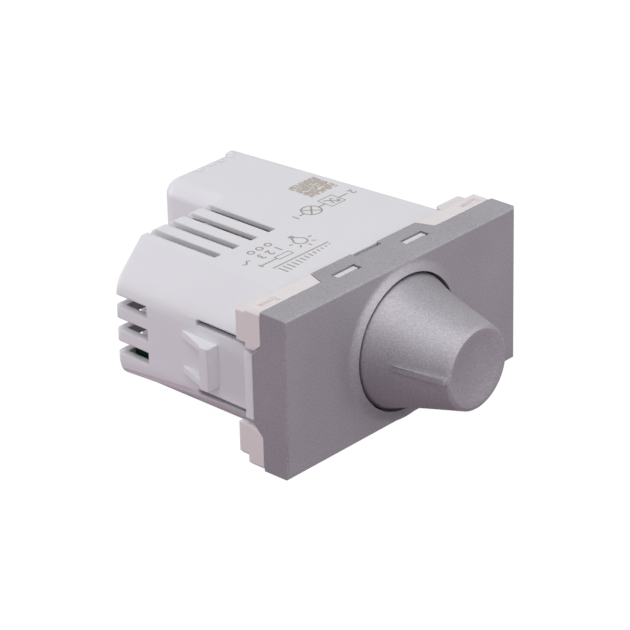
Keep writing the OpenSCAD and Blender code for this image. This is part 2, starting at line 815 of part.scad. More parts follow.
module low_rounds() {
    side = side_x(low_rear, 0);
    rear_round(90, body_top);
    rear_round(-90, body_bottom);
    mirror([1, 0, 0]) {
        rear_round(0, side);
        rear_round(45, (side + body_top - body_chamfer) / sqrt(2));
        rear_round(-45, (side + body_bottom - bottom_rear_chamfer) / sqrt(2));
    }
}

module housing_shape(skin, front) {
    // The housing's outer form, or the form inside a skin
    low_end = low_rear - skin;
    tower_end = tower_rear - skin;
    growth = (rear_chamfer - body_chamfer) / (tower_rear - body_front);
    bottom_growth = (bottom_rear_chamfer - body_chamfer) / (low_rear - body_front);
    height = body_top + body_bottom - 2 * skin;
    difference() {
        union() {
            difference() {
                translate([0, 0, -body_bottom + skin]) linear_extrude(height) polygon([
                    [-side_x(front, skin), front], [lap_x, front],
                    [lap_x, low_end], [-side_x(low_end, skin), low_end]]);
                if (skin == 0) low_rounds();
            }
            difference() {
                translate([0, 0, -body_bottom + skin]) linear_extrude(height) polygon([
                    [tower_left + skin, front], [side_x(front, skin), front],
                    [side_x(tower_end, skin), tower_end], [tower_left + skin, tower_end]]);
                tower_rounds(skin, tower_end);
            }
        }
        slanted_corner(body_top, body_chamfer, growth, skin);
        mirror([0, 0, 1]) slanted_corner(body_bottom, body_chamfer, bottom_growth, skin);
        mirror([1, 0, 0]) slanted_corner(body_top, body_chamfer, 0, skin);
        mirror([1, 0, 0]) mirror([0, 0, 1])
            slanted_corner(body_bottom, body_chamfer, bottom_growth, skin);
    }
}

module housing_shell() {
    difference() {
        housing_shape(0, body_front);
        housing_shape(wall, body_front - cut);
    }
}

module comb_slots() {
    // The last slot's right edge lies at a set distance from the tower
    last_x = tower_left - comb_gap;
    for (i = [0:comb_count - 1]) {
        x = last_x - i * comb_pitch;
        block([x - comb_w, comb_front, ceiling_z - cut], [x, low_rear + cut, body_top + cut]);
        block([x - comb_w, low_rear - wall - cut, body_top - comb_drop], [x, low_rear + cut, body_top + cut]);
    }
    // The top is thinner inside, round the last two slots
    thin_x1 = last_x + cut;
    thin_x0 = last_x - comb_w - 1.6 * comb_pitch;
    block([thin_x0, comb_front - cut, ceiling_z - cut],
        [thin_x1, low_rear - wall + eps, body_top - comb_skin]);
}

module edge_slots() {
    corner_x = -side_x(low_rear, 0);
    lap = wall + 0.4;
    for (i = [0:edge_slot_count - 1]) {
        z = (i - (edge_slot_count - 1) / 2) * edge_slot_pitch;
        block([-body_w / 2 - cut, edge_slot_front, z - edge_slot_h / 2],
            [corner_x + lap, low_rear + cut, z + edge_slot_h / 2]);
        block([-body_w / 2 - cut, low_rear - lap, z - edge_slot_h / 2],
            [corner_x + edge_slot_run, low_rear + cut, z + edge_slot_h / 2]);
    }
}

module rounder_edge(x0, x1, r) {
    // Rounds the tower's top rear edge off more between two places
    translate([x0 + cut, tower_rear, body_top]) rotate([0, 90, 0]) mirror([1, 0, 0])
        fillet_cut(r, x1 - x0 - 2 * cut);
}

module rear_vents() {
    first = tower_left + vent_inset;
    rounder_edge(tower_left - 2 * cut, first + (vent_count - 1) * vent_pitch + vent_w, vent_round);
    for (i = [0:vent_count - 1]) {
        x = first + i * vent_pitch;
        block([x - vent_w / 2, tower_rear - wall - cut, vent_bottom],
            [x + vent_w / 2, tower_rear + cut, ceiling_z - fit_gap]);
        rounder_edge(x - vent_w / 2, x + vent_w / 2, vent_round + vent_flute);
    }
}

module latch_opening(gap) {
    // Room for the left tongue and the slots beside it, in Y and Z
    top = end_gap_h / 2 - fit_gap;
    slot_r = (top + fit_gap) / 2 - latch_h / 4 - eps;
    slot_end = latch_slot_rear - slot_r;
    block([-outside, body_front - cut, -top], [-flex_x, slot_end, top]);
    for (side = [-1, 1]) translate([0, slot_end, side * (top - slot_r)])
        rotate([0, -90, 0]) translate([0, 0, flex_x]) cylinder(r = slot_r, h = outside - flex_x, $fn = 24);
    block([-outside, body_front - cut, -latch_h / 2 - gap], [-flex_x, latch_slot_rear, latch_h / 2 + gap]);
    block([-outside, body_front - cut, -latch_neck_h / 2 - gap],
        [-flex_x, latch_root + gap, latch_neck_h / 2 + gap]);
}

module board_posts() {
    // Square posts that grow out of the floor and the slanted corners
    intersection() {
        for (x = [-post_x, post_x], y = [board_front + post_inset, board_rear - post_inset])
            block([x - post_w / 2, y - post_w / 2, -body_bottom],
                [x + post_w / 2, y + post_w / 2, floor_z + post_h]);
        housing_shape(wall / 2, body_front);
    }
}

module rear_housing() {
    color(housing_white) difference() {
        union() {
            housing_shell();
            board_posts();
        }
        comb_slots();
        edge_slots();
        rear_vents();
        both_sides() latch_opening(fit_gap);
        both_sides() block([arm_x - arm_w / 2 - arm_gap, arm_tooth_y - arm_gap, -body_bottom - cut],
            [arm_x + arm_w / 2 + arm_gap, arm_rear + arm_gap, -body_bottom + wall + cut]);
        for (i = terminals) translate([terminal_x + i * terminal_pitch, 0, 0]) {
            translate([0, 0, entry_z]) bar_y(wire_r, tower_rear - wall - cut, tower_rear + cut);
            translate([0, terminal_y, -body_bottom - cut]) cylinder(r = access_r, h = wall + 2 * cut);
        }
    }
}

// Snap latches
latch_front = lip_front + lip_l - 0.6;
tooth_x = side_x(tooth_front, 0);
tooth_inner = tooth_x - 0.4;

module latch_lip() {
    // Lip at the free end, with a slanted rear
    side = body_w / 2;
    flat_l = lip_l / 2;
    translate([0, 0, -lip_h / 2]) linear_extrude(lip_h) polygon([
        [wall - side, lip_front], [-side - lip_out, lip_front], [-side - lip_out, lip_front + flat_l],
        [0.3 - side - lip_out, lip_front + flat_l + 0.4], [0.1 - side, lip_front + lip_l],
        [wall - side, lip_front + lip_l]]);
}

module tooth() {
    // Solid block with a square shoulder, and two ramps behind it
    block([-tooth_x - tooth_out, tooth_front, -tooth_h / 2],
        [-tooth_inner, tooth_front + tooth_block, tooth_h / 2]);
    for (z = [-tooth_h / 2, tooth_h / 2 - ramp_t])
        translate([0, 0, z]) linear_extrude(ramp_t) polygon([
            [-tooth_inner, tooth_front], [-tooth_x - tooth_out, tooth_front],
            [-tooth_x - tooth_out, tooth_front + 0.6], [0.1 - tooth_x, tooth_ramp_rear],
            [-tooth_inner, tooth_ramp_rear]]);
}

module latch() {
    intersection() {
        housing_shell();
        union() {
            block([-outside, latch_front, -latch_h / 2], [-flex_x, latch_slot_rear - fit_gap, latch_h / 2]);
            block([-outside, latch_front, -latch_neck_h / 2], [-flex_x, latch_root, latch_neck_h / 2]);
        }
    }
    latch_lip();
    tooth();
}

module latch_left() {
    color(housing_white) latch();
}

module latch_right() {
    color(housing_white) mirror([1, 0, 0]) latch();
}

// Circuit board and what is soldered on it
lead_end = board_under - 0.9;
lead_bend = 1;
choke_r = (ceiling_z - choke_gap - board_face) / 2;
choke_at = [tower_left - 4.3, board_rear - choke_r - 0.1, board_face + choke_r];
choke_lead = 4;
film_at = [film_cap_w / 2 + 1 - board_x, 23.35];
film_lead = 5;
small_at = [small_cap_l / 2 + 0.9 - board_x, 15.6];
small_lead = 2.5;
resistor_at = [tower_left + 7.2, 20];
diac_at = [tower_left + 8.6, 28.5];
fuse_at = [tower_left + 0.7, 23.5];
fuse_z = board_face + rest_gap + fuse_r;
triac_x = tower_left + 10;
triac_pitch = 2.54;
triac_lead_y = board_front + 0.75;

module lead_hole(x, y) {
    translate([x, y, board_under - cut]) cylinder(r = lead_r + 0.12, h = board_t + 2 * cut, $fn = 24);
}

module lead(x, y, z) {
    // Wire from a height down through the board
    translate([x, y, lead_end]) cylinder(r = lead_r, h = z - lead_end, $fn = 24);
}

module circuit_board() {
    color(green_laminate) difference() {
        block([-board_x, board_front, board_under], [board_x, board_rear, board_top]);
        for (side = [-1, 1]) {
            lead_hole(choke_at[0], choke_at[1] + side * choke_lead);
            lead_hole(film_at[0], film_at[1] + side * film_lead);
            lead_hole(small_at[0] + side * small_lead, small_at[1]);
            lead_hole(diac_at[0] + side * (diac_l / 2 + lead_bend), diac_at[1]);
            lead_hole(fuse_at[0], fuse_at[1] + side * (fuse_l / 2 + lead_bend));
            for (i = [0:resistor_count - 1])
                lead_hole(resistor_at[0] + i * resistor_pitch,
                    resistor_at[1] + side * (resistor_l / 2 + lead_bend));
        }
        for (i = [-1, 0, 1]) lead_hole(triac_x + i * triac_pitch, triac_lead_y);
    }
}

module ring_section(grow) {
    // Section of the choke's ring, grown by an amount
    x0 = choke_bore + wind_t - grow;
    x1 = choke_r - wind_t + grow;
    translate([x0, -choke_w / 2 + wind_t - grow]) square([x1 - x0, choke_w - 2 * wind_t + 2 * grow]);
}

module choke_core() {
    color(iron_powder) translate(choke_at) rotate([0, 90, 0]) rotate_extrude() ring_section(0);
}

module choke_winding() {
    // The winding stops short of the ring's lowest part
    color(copper) {
        translate(choke_at) rotate([0, 90, 0]) rotate([0, 0, -150]) rotate_extrude(angle = 300)
            difference() {
                ring_section(wind_t);
                ring_section(rest_gap / 2);
            }
        for (side = [-1, 1]) lead(choke_at[0], choke_at[1] + side * choke_lead, board_top + 1.9);
    }
}

module box_part(at, width, length, height) {
    // Moulded box that stands on the board
    block([at[0] - width / 2, at[1] - length / 2, board_face],
        [at[0] + width / 2, at[1] + length / 2, board_face + height]);
}

module film_capacitor() {
    color(film_yellow) {
        box_part(film_at, film_cap_w, film_cap_l, film_cap_h);
        for (side = [-1, 1]) lead(film_at[0], film_at[1] + side * film_lead, board_face + cut);
    }
}

module timing_capacitor() {
    color(case_blue) {
        box_part(small_at, small_cap_l, small_cap_w, small_cap_h);
        for (side = [-1, 1]) lead(small_at[0] + side * small_lead, small_at[1], board_face + cut);
    }
}

module axial_part(r, l) {
    // Round body along Y with a lead at each end that bends down through the board
    reach = l / 2 + lead_bend;
    z = board_face + r;
    translate([0, 0, z]) bar_y(r, -l / 2, l / 2);
    translate([0, 0, z]) bar_y(lead_r, -reach - lead_r, reach + lead_r, $fn = 24);
    for (side = [-1, 1]) lead(0, side * reach, z);
}

module resistors() {
    color(resistor_tan) for (i = [0:resistor_count - 1])
        translate([resistor_at[0] + i * resistor_pitch, resistor_at[1], 0])
            axial_part(resistor_r, resistor_l);
}

module diac() {
    color(case_blue) translate([diac_at[0], diac_at[1], 0]) rotate([0, 0, 90]) axial_part(diac_r, diac_l);
}

module fuse_body() {
    half = fuse_l / 2 - fuse_cap_l - rest_gap;
    color(ceramic) translate([fuse_at[0], fuse_at[1], fuse_z]) bar_y(fuse_r - 0.15, -half, half);
}

module fuse_caps() {
    reach = fuse_l / 2 + lead_bend;
    color(steel) translate([fuse_at[0], fuse_at[1], 0]) for (turn = [0, 180]) rotate([0, 0, turn]) {
        translate([0, 0, fuse_z]) bar_y(fuse_r, fuse_l / 2 - fuse_cap_l, fuse_l / 2);
        translate([0, 0, fuse_z]) bar_y(lead_r, fuse_l / 2 - eps, reach + lead_r, $fn = 24);
        lead(0, reach, fuse_z);
    }
}

// Triac, its heat sink and the screw that holds them together
triac_y0 = board_front + 2.4;
triac_y1 = triac_y0 + triac_body_l;
sink_top = ceiling_z - sink_gap;
sink_under = sink_top - sink_t;
triac_top = sink_under - rest_gap;
tab_hole_y = triac_y1 + triac_tab_l / 2;
tab_screw_l = 4.9;
tab_screw_head_r = 2.7;
tab_screw_head_h = 1.6;
tab_nut_flats = 5.5;
tab_nut_t = 2;
sink_left = triac_x - triac_w / 2 - 0.4 - sink_t;
sink_right = triac_x + 3.2;
sink_rear = board_rear + 2.5;

module triac() {
    lead_z = triac_top - 2.6;
    lead_t = 0.5;
    lead_w = 0.8;
    color(black_epoxy) difference() {
        union() {
            block([triac_x - triac_w / 2, triac_y0, triac_top - triac_body_t],
                [triac_x + triac_w / 2, triac_y1, triac_top]);
            block([triac_x - triac_w / 2, triac_y1 - cut, triac_top - triac_tab_t],
                [triac_x + triac_w / 2, triac_y1 + triac_tab_l, triac_top]);
            for (i = [-1, 0, 1]) translate([triac_x + i * triac_pitch, 0, 0]) {
                block([-lead_w / 2, triac_lead_y - lead_t / 2, lead_z],
                    [lead_w / 2, triac_y0 + cut, lead_z + lead_t]);
                lead(0, triac_lead_y, lead_z + 0.8 * lead_t);
            }
        }
        translate([triac_x, tab_hole_y, triac_top - triac_body_t])
            cylinder(r = tab_screw_r + 0.2, h = triac_body_t + cut);
    }
}

module heat_sink() {
    color(aluminium) difference() {
        union() {
            block([sink_left, triac_y0, sink_under], [sink_right, sink_rear, sink_top]);
            block([sink_left, triac_y0 + 1, board_face],
                [sink_left + sink_t, triac_y0 + 1 + sink_leg_l, sink_top]);
        }
        translate([triac_x, tab_hole_y, sink_under - cut])
            cylinder(r = tab_screw_r + fit_gap, h = sink_t + 2 * cut);
    }
}

module triac_screw() {
    head_z = sink_top + rest_gap - eps;
    color(steel) translate([triac_x, tab_hole_y, 0]) {
        translate([0, 0, sink_top - tab_screw_l]) cylinder(r = tab_screw_r, h = tab_screw_l + rest_gap);
        difference() {
            translate([0, 0, head_z]) cylinder(r = tab_screw_head_r, h = tab_screw_head_h);
            block([-0.4, -tab_screw_head_r - cut, head_z + 1], [0.4, tab_screw_head_r + cut, head_z + 2]);
        }
    }
}

module triac_nut() {
    top = triac_top - triac_tab_t - rest_gap;
    color(steel) translate([triac_x, tab_hole_y, top - tab_nut_t]) difference() {
        cylinder(d = tab_nut_flats / cos(30), h = tab_nut_t, $fn = 6);
        translate([0, 0, -cut]) cylinder(r = tab_screw_r + rest_gap, h = tab_nut_t + 2 * cut);
    }
}

// Terminals. A cage's top plate presses the wire on the contact bar as the screw draws the cage down
terminals = [0:2];
terminal_x = tower_left + terminal_inset - terminal_pitch;
contact_z = -2;
contact_front = board_rear - 1.2;
wire_room = 3;
cage_top_t = 0.8;
cage_low = contact_z - 0.7 - cage_plate;
cage_open_top = contact_z + contact_t + wire_room;
cage_top = cage_open_top + cage_top_t;
cage_gap = 0.3;
floor_t = 0.9;
chamber_floor = cage_low - cage_travel - cage_gap;
chamber_top = cage_top + cage_gap;
head_top = chamber_floor - floor_t - rest_gap;
terminal_left = tower_left + wall + fit_gap;
terminal_right = terminal_x + 2 * terminal_pitch + 2.6;
terminal_front = board_rear + 1.4;
terminal_rear = tower_rear - wall - fit_gap;
terminal_top = chamber_top + 0.8;

module terminal_block() {
    color(terminal_grey) difference() {
        intersection() {
            block([terminal_left, terminal_front, -body_bottom],
                [terminal_right, terminal_rear, terminal_top]);
            housing_shape(wall + fit_gap, body_front - cut);
        }
        for (i = terminals) translate([terminal_x + i * terminal_pitch, terminal_y, 0]) {
            block([-cage_w / 2 - cage_gap + rest_gap, -cage_d / 2 - cage_gap, chamber_floor],
                [cage_w / 2 + cage_gap - rest_gap, cage_d / 2 + cage_gap, chamber_top]);
            translate([0, 0, -body_bottom])
                cylinder(r = screw_head_r + 0.2, h = body_bottom + chamber_floor - floor_t);
            translate([0, 0, chamber_floor - floor_t - cut])
                cylinder(r = screw_r + shaft_clear, h = floor_t + 2 * cut);
            block([-contact_w / 2 - 0.15, -cage_d - cut, contact_z - fit_gap],
                [contact_w / 2 + 0.15, 0, contact_z + contact_t + fit_gap]);
            translate([0, 0, entry_z]) bar_y(wire_r, 0, terminal_rear - terminal_y + cut);
        }
    }
}

module terminal_contacts() {
    // Each bar has a leg that is soldered to the board
    leg_w = contact_w - 0.5;
    color(brass) for (i = terminals) translate([terminal_x + i * terminal_pitch, 0, 0]) {
        block([-contact_w / 2, contact_front, contact_z],
            [contact_w / 2, terminal_y + cage_d / 2, contact_z + contact_t]);
        block([-leg_w / 2, contact_front, board_face],
            [leg_w / 2, contact_front + contact_t, contact_z + eps]);
    }
}

module clamp_cage(i) {
    color(steel) translate([terminal_x + i * terminal_pitch, terminal_y, 0]) difference() {
        block([-cage_w / 2, -cage_d / 2, cage_low], [cage_w / 2, cage_d / 2, cage_top]);
        block([-cage_w / 2 + cage_side, -cage_d, cage_low + cage_plate],
            [cage_w / 2 - cage_side, cage_d, cage_open_top]);
        translate([0, 0, cage_low - cut]) cylinder(r = screw_r + shaft_clear, h = cage_plate + 2 * cut);
    }
}

module terminal_screw(i) {
    slot = driver_slot_w / 2;
    slot_end = screw_head_r + cut;
    head_low = head_top - screw_head_h;
    color(steel) translate([terminal_x + i * terminal_pitch, terminal_y, 0]) difference() {
        union() {
            translate([0, 0, head_top]) cylinder(r = screw_r, h = contact_z - 0.15 - head_top);
            translate([0, 0, head_low]) cylinder(r = screw_head_r, h = screw_head_h);
        }
        block([-slot, -slot_end, head_low - cut], [slot, slot_end, head_low + screw_head_h / 2]);
        block([-slot_end, -slot, head_low - cut], [slot_end, slot, head_low + screw_head_h / 2]);
    }
}

module clamp_cage_1() { clamp_cage(0); }
module clamp_cage_2() { clamp_cage(1); }
module clamp_cage_3() { clamp_cage(2); }
module terminal_screw_1() { terminal_screw(0); }
module terminal_screw_2() { terminal_screw(1); }
module terminal_screw_3() { terminal_screw(2); }

face_plate();
knob();
mounting_frame();
rear_housing();
latch_left();
latch_right();
pot_shaft();
pot_rotor();
wiper_spring();
pot_bushing();
pot_washer();
pot_nut();
pot_cover();
pot_wafer();
resistance_track();
circuit_board();
choke_core();
choke_winding();
film_capacitor();
timing_capacitor();
resistors();
diac();
fuse_body();
fuse_caps();
triac();
heat_sink();
triac_screw();
triac_nut();
terminal_block();
terminal_contacts();
clamp_cage_1();
clamp_cage_2();
clamp_cage_3();
terminal_screw_1();
terminal_screw_2();
terminal_screw_3();
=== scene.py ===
"""Rotary wall dimmer in Blender, dressed over its CAD model. Metres; X right, Y rear, Z up."""
import math
import random

import bmesh
import bpy
from mathutils import Matrix, Vector


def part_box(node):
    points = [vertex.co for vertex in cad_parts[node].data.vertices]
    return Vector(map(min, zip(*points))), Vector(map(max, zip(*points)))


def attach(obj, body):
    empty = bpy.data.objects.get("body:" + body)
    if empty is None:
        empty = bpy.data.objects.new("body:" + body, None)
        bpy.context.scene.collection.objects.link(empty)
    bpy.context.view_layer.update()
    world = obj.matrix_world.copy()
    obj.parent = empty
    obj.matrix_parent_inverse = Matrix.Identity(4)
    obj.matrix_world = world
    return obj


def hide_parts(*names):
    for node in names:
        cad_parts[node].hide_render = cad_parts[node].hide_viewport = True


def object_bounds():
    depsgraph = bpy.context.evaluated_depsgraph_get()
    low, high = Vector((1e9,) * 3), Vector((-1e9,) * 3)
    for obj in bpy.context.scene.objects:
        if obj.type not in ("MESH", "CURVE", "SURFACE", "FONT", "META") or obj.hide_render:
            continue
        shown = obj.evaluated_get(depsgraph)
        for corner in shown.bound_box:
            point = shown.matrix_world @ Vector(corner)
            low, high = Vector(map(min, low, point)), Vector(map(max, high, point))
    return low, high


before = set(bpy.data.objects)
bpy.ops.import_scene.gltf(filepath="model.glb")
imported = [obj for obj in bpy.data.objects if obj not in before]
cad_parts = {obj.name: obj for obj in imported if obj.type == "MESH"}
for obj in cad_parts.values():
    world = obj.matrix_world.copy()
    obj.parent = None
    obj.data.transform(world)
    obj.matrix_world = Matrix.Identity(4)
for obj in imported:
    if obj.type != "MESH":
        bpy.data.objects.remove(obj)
cad_low, cad_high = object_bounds()
mm = 0.001


# Circuit board
# A punched board of glass laminate under green solder resist, 1.6 mm thick.
# It lies on two posts of the housing and carries every electrical part.


class Value:
    """A number that a finish works out, with arithmetic that adds Math nodes."""

    def __init__(self, finish, socket):
        self.finish = finish
        self.socket = socket

    def math(self, operation, *terms):
        return self.finish.node("ShaderNodeMath", {"operation": operation}, dict(enumerate(terms)))

    def __add__(self, other):
        return self.math("ADD", self, other)

    def __radd__(self, other):
        return self.math("ADD", other, self)

    def __sub__(self, other):
        return self.math("SUBTRACT", self, other)

    def __rsub__(self, other):
        return self.math("SUBTRACT", other, self)

    def __mul__(self, other):
        return self.math("MULTIPLY", self, other)

    def __rmul__(self, other):
        return self.math("MULTIPLY", other, self)

    def __abs__(self):
        return self.math("ABSOLUTE", self)

    def __gt__(self, other):
        return self.math("GREATER_THAN", self, other)

    def __lt__(self, other):
        return self.math("LESS_THAN", self, other)

    def or_larger(self, other):
        return self.math("MAXIMUM", self, other)


class Finish:
    """One procedural material, or the studio's sky, made node by node."""

    def __init__(self, name, world=False):
        self.owner = (bpy.data.worlds if world else bpy.data.materials).new(name)
        self.owner.use_nodes = True
        self.tree = self.owner.node_tree
        self.tree.nodes.clear()
        self.place = self.node("ShaderNodeTexCoord", {}, {}, "Object")

    def node(self, kind, settings, sockets, output=0):
        """Adds a node with its settings, then the values or links of its sockets."""
        made = self.tree.nodes.new(kind)
        for key, setting in settings.items():
            setattr(made, key, setting)
        for key, content in sockets.items():
            if isinstance(content, Value):
                self.tree.links.new(content.socket, made.inputs[key])
            else:
                made.inputs[key].default_value = content
        return Value(self, made.outputs[output]) if made.outputs else None

    def noise(self, size, detail=2.0, roughness=0.5):
        """Noise whose blobs are about as large as size, in metres."""
        return self.node("ShaderNodeTexNoise", {}, {
            "Vector": self.place, "Scale": 1 / size, "Detail": detail, "Roughness": roughness})

    def tones(self, factor, first, second):
        """A colour between two, by a factor that varies over the surface."""
        # A Mix node takes its colours at sockets 6 and 7, and gives the mixed one at 2.
        return self.node("ShaderNodeMix", {"data_type": "RGBA"}, {
            0: factor, 6: (*first, 1), 7: (*second, 1)}, 2)

    def relief(self, height, depth, base=None):
        """The normal of a surface whose height runs from 0 to 1 over a depth in metres."""
        sockets = {"Height": height, "Distance": depth, "Strength": 1.0}
        return self.node("ShaderNodeBump", {}, {**sockets, "Normal": base} if base else sockets)

    def end(self, surface, output="ShaderNodeOutputMaterial"):
        """Ends the nodes in a shader and returns the material or world that they make."""
        self.node(output, {}, {"Surface": surface})
        return self.owner

    def shade(self, **sockets):
        """Ends the finish in one Principled BSDF."""
        named = {key.replace("_", " "): content for key, content in sockets.items()}
        return self.end(self.node("ShaderNodeBsdfPrincipled", {}, named))


def srgb(red, green, blue):
    """A screen colour of 0 to 255 as the linear numbers that a shader takes."""
    return tuple(
        c / 12.92 if c <= 0.04045 else ((c + 0.055) / 1.055) ** 2.4
        for c in (red / 255, green / 255, blue / 255))


def dress(finish, *nodes):
    """Gives CAD nodes that keep their own shape a finish."""
    for name in nodes:
        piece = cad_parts[name]
        if not piece.material_slots:
            piece.data.materials.append(finish)
        for slot in piece.material_slots:
            slot.material = finish


resist = Finish("green_resist")
weave = resist.node("ShaderNodeTexWave", {"bands_direction": "X"}, {
    "Vector": resist.place, "Scale": 900.0, "Distortion": 1.0, "Detail": 1.0})
cloud = resist.noise(3 * mm, detail=3)
dress(resist.shade(
    Base_Color=resist.tones(cloud, srgb(22, 62, 44), srgb(32, 82, 56)),
    Roughness=0.25 + 0.2 * resist.noise(0.6 * mm),
    Normal=resist.relief(weave, 0.01 * mm),
    IOR=1.5), "circuit_board")


# Interference choke
# A ring of painted iron powder, wound with one layer of enamelled copper wire.
# It stands on edge under the comb slots, where its turns catch some light.

wire_r = 0.31 * mm
turns = 20
wound_angle = 300
bend_points = 5
lead_y = 4 * mm
lead_knee = 0.9 * mm
core_bore = 2.9 * mm
core_low, core_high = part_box("choke_core")
core_middle = (core_low + core_high) / 2
core_r = (core_high.z - core_low.z) / 2
lead_foot_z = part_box("choke_winding")[0].z


def show(shape, name, body, finish):
    """Makes an object of a finished bmesh and lets it move with its body."""
    mesh = bpy.data.meshes.new(name)
    shape.to_mesh(mesh)
    shape.free()
    mesh.materials.append(finish)
    piece = bpy.data.objects.new(name, mesh)
    bpy.context.scene.collection.objects.link(piece)
    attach(piece, body)
    return piece


def as_mesh(curve):
    """A bmesh of a drawn curve or text, merged."""
    drawing = bpy.data.objects.new("drawing", curve)
    bpy.context.scene.collection.objects.link(drawing)
    bpy.context.view_layer.update()
    shown = drawing.evaluated_get(bpy.context.evaluated_depsgraph_get())
    mesh = bpy.data.meshes.new_from_object(shown)
    bpy.data.objects.remove(drawing)
    shape = bmesh.new()
    shape.from_mesh(mesh)
    bpy.data.meshes.remove(mesh)
    bmesh.ops.recalc_face_normals(shape, faces=shape.faces)
    for face in shape.faces:
        face.smooth = True
    return shape


powder = Finish("iron_powder_paint")
dress(powder.shade(
    Base_Color=powder.tones(powder.noise(1.2 * mm), srgb(196, 178, 84), srgb(214, 198, 108)),
    Roughness=0.5 + 0.2 * powder.noise(0.3 * mm),
    Normal=powder.relief(powder.noise(0.15 * mm), 0.02 * mm)), "choke_core")

enamel = Finish("enamelled_copper")
enamelled = enamel.shade(
    Base_Color=enamel.tones(enamel.noise(0.8 * mm), srgb(158, 84, 38), srgb(196, 118, 58)),
    Metallic=0.9, Roughness=0.22 + 0.12 * enamel.noise(0.3 * mm),
    Coat_Weight=0.4, Coat_Roughness=0.1)

# One turn goes round the core's section, with a bend round each of its four corners.
one_turn = []
for corner, (out, over) in enumerate(((1, 1), (1, -1), (-1, -1), (-1, 1))):
    for step in range(bend_points):
        bend = math.radians(90 - 90 * corner - 90 * step / (bend_points - 1))
        one_turn.append((
            (core_r + core_bore) / 2 + out * (core_r - core_bore) / 2 + wire_r * math.cos(bend),
            over * (core_high.x - core_low.x) / 2 + wire_r * math.sin(bend)))
winding = bpy.data.curves.new("winding", "CURVE")
winding.dimensions = "3D"
winding.bevel_depth = wire_r
winding.bevel_resolution = 2
winding.use_fill_caps = True
route = []
steps = len(one_turn) * turns
for point in range(steps + 1):
    around = math.radians(-wound_angle / 2 + wound_angle * point / steps)
    reach, over = one_turn[point % len(one_turn)]
    route.append(core_middle + Vector((over, reach * math.sin(around), reach * math.cos(around))))
for side in (-1, 1):
    foot = Vector((core_middle.x, core_middle.y + side * lead_y, lead_foot_z))
    knee = Vector((core_middle.x, foot.y, core_low.z + lead_knee))
    route = [foot, knee] + route if side < 0 else route + [knee, foot]
wire = winding.splines.new("POLY")
wire.points.add(len(route) - 1)
for point, place in zip(wire.points, route):
    point.co = (*place, 1)
wound = show(as_mesh(winding), "wound_turns", "base", enamelled)
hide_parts("choke_winding")


# Capacitors
# A boxed film capacitor against interference and a small dipped one for the timing.
# Both stand on two tinned leads, soldered under the board.

film = Finish("grey_box")
dress(film.shade(
    Base_Color=film.tones(film.noise(4 * mm), srgb(104, 98, 106), srgb(120, 114, 122)),
    Roughness=0.35 + 0.1 * film.noise(0.4 * mm),
    Normal=film.relief(film.noise(0.2 * mm), 0.008 * mm)), "film_capacitor")
dipped = Finish("blue_dip")
dress(dipped.shade(
    Base_Color=dipped.tones(dipped.noise(2 * mm), srgb(40, 66, 122), srgb(56, 84, 146)),
    Roughness=0.18 + 0.1 * dipped.noise(0.8 * mm),
    Normal=dipped.relief(dipped.noise(1.5 * mm), 0.06 * mm), Coat_Weight=0.5), "timing_capacitor")


# Resistors and trigger diode
# Three resistors with lacquered bodies and the trigger diode, a blue bead of glass.
# All are carried by their bent wire leads, soldered under the board.

coat = Finish("resistor_lacquer")
dress(coat.shade(
    Base_Color=coat.tones(coat.noise(1 * mm), srgb(188, 164, 118), srgb(204, 182, 138)),
    Roughness=0.3 + 0.1 * coat.noise(0.5 * mm), Coat_Weight=0.3), "resistors")
bead = Finish("diode_bead")
dress(bead.shade(
    Base_Color=bead.tones(bead.noise(0.8 * mm), srgb(38, 60, 118), srgb(60, 88, 150)),
    Roughness=0.12 + 0.1 * bead.noise(0.5 * mm), Coat_Weight=0.6), "diac")


# Fuse
# A glazed ceramic tube between two pressed caps of zinc-plated steel.
# It lies on the board in the mains lead. The screws and nuts are plated alike.

glaze = Finish("glazed_tube")
dress(glaze.shade(
    Base_Color=glaze.tones(glaze.noise(1 * mm), srgb(226, 222, 208), srgb(240, 237, 226)),
    Roughness=0.15 + 0.1 * glaze.noise(0.8 * mm), Coat_Weight=0.5), "fuse_body")
plated = Finish("zinc_plated_steel")
zinc = plated.shade(
    Base_Color=plated.tones(plated.noise(0.7 * mm), srgb(176, 176, 180), srgb(206, 206, 208)),
    Metallic=1.0, Roughness=0.25 + 0.25 * plated.noise(0.25 * mm),
    Normal=plated.relief(plated.noise(0.12 * mm), 0.006 * mm))
dress(zinc, "fuse_caps")


# Triac and heat sink
# A black moulded power switch, screwed by its tab to a bent sheet of aluminium.
# The sheet's leg stands on the board.

moulded = Finish("black_epoxy")
dress(moulded.shade(
    Base_Color=moulded.tones(moulded.noise(1 * mm), srgb(30, 30, 33), srgb(44, 44, 48)),
    Roughness=0.5 + 0.2 * moulded.noise(0.2 * mm),
    Normal=moulded.relief(moulded.noise(0.1 * mm), 0.01 * mm)), "triac")
rolled = Finish("rolled_aluminium")
stretch = rolled.node("ShaderNodeMapping", {}, {
    "Vector": rolled.place, "Scale": (60.0, 4000.0, 4000.0)})
lines = rolled.node("ShaderNodeTexNoise", {}, {"Vector": stretch, "Scale": 1.0, "Detail": 3.0})
dress(rolled.shade(
    Base_Color=rolled.tones(lines, srgb(188, 190, 194), srgb(214, 215, 218)),
    Metallic=1.0, Roughness=0.3 + 0.25 * lines,
    Normal=rolled.relief(lines, 0.006 * mm)), "heat_sink")
dress(zinc, "triac_screw", "triac_nut")


# Terminals
# A moulded block with three brass contact bars, clamp cages and screws.
# Each screw draws its cage up and clamps a wire against the bar.

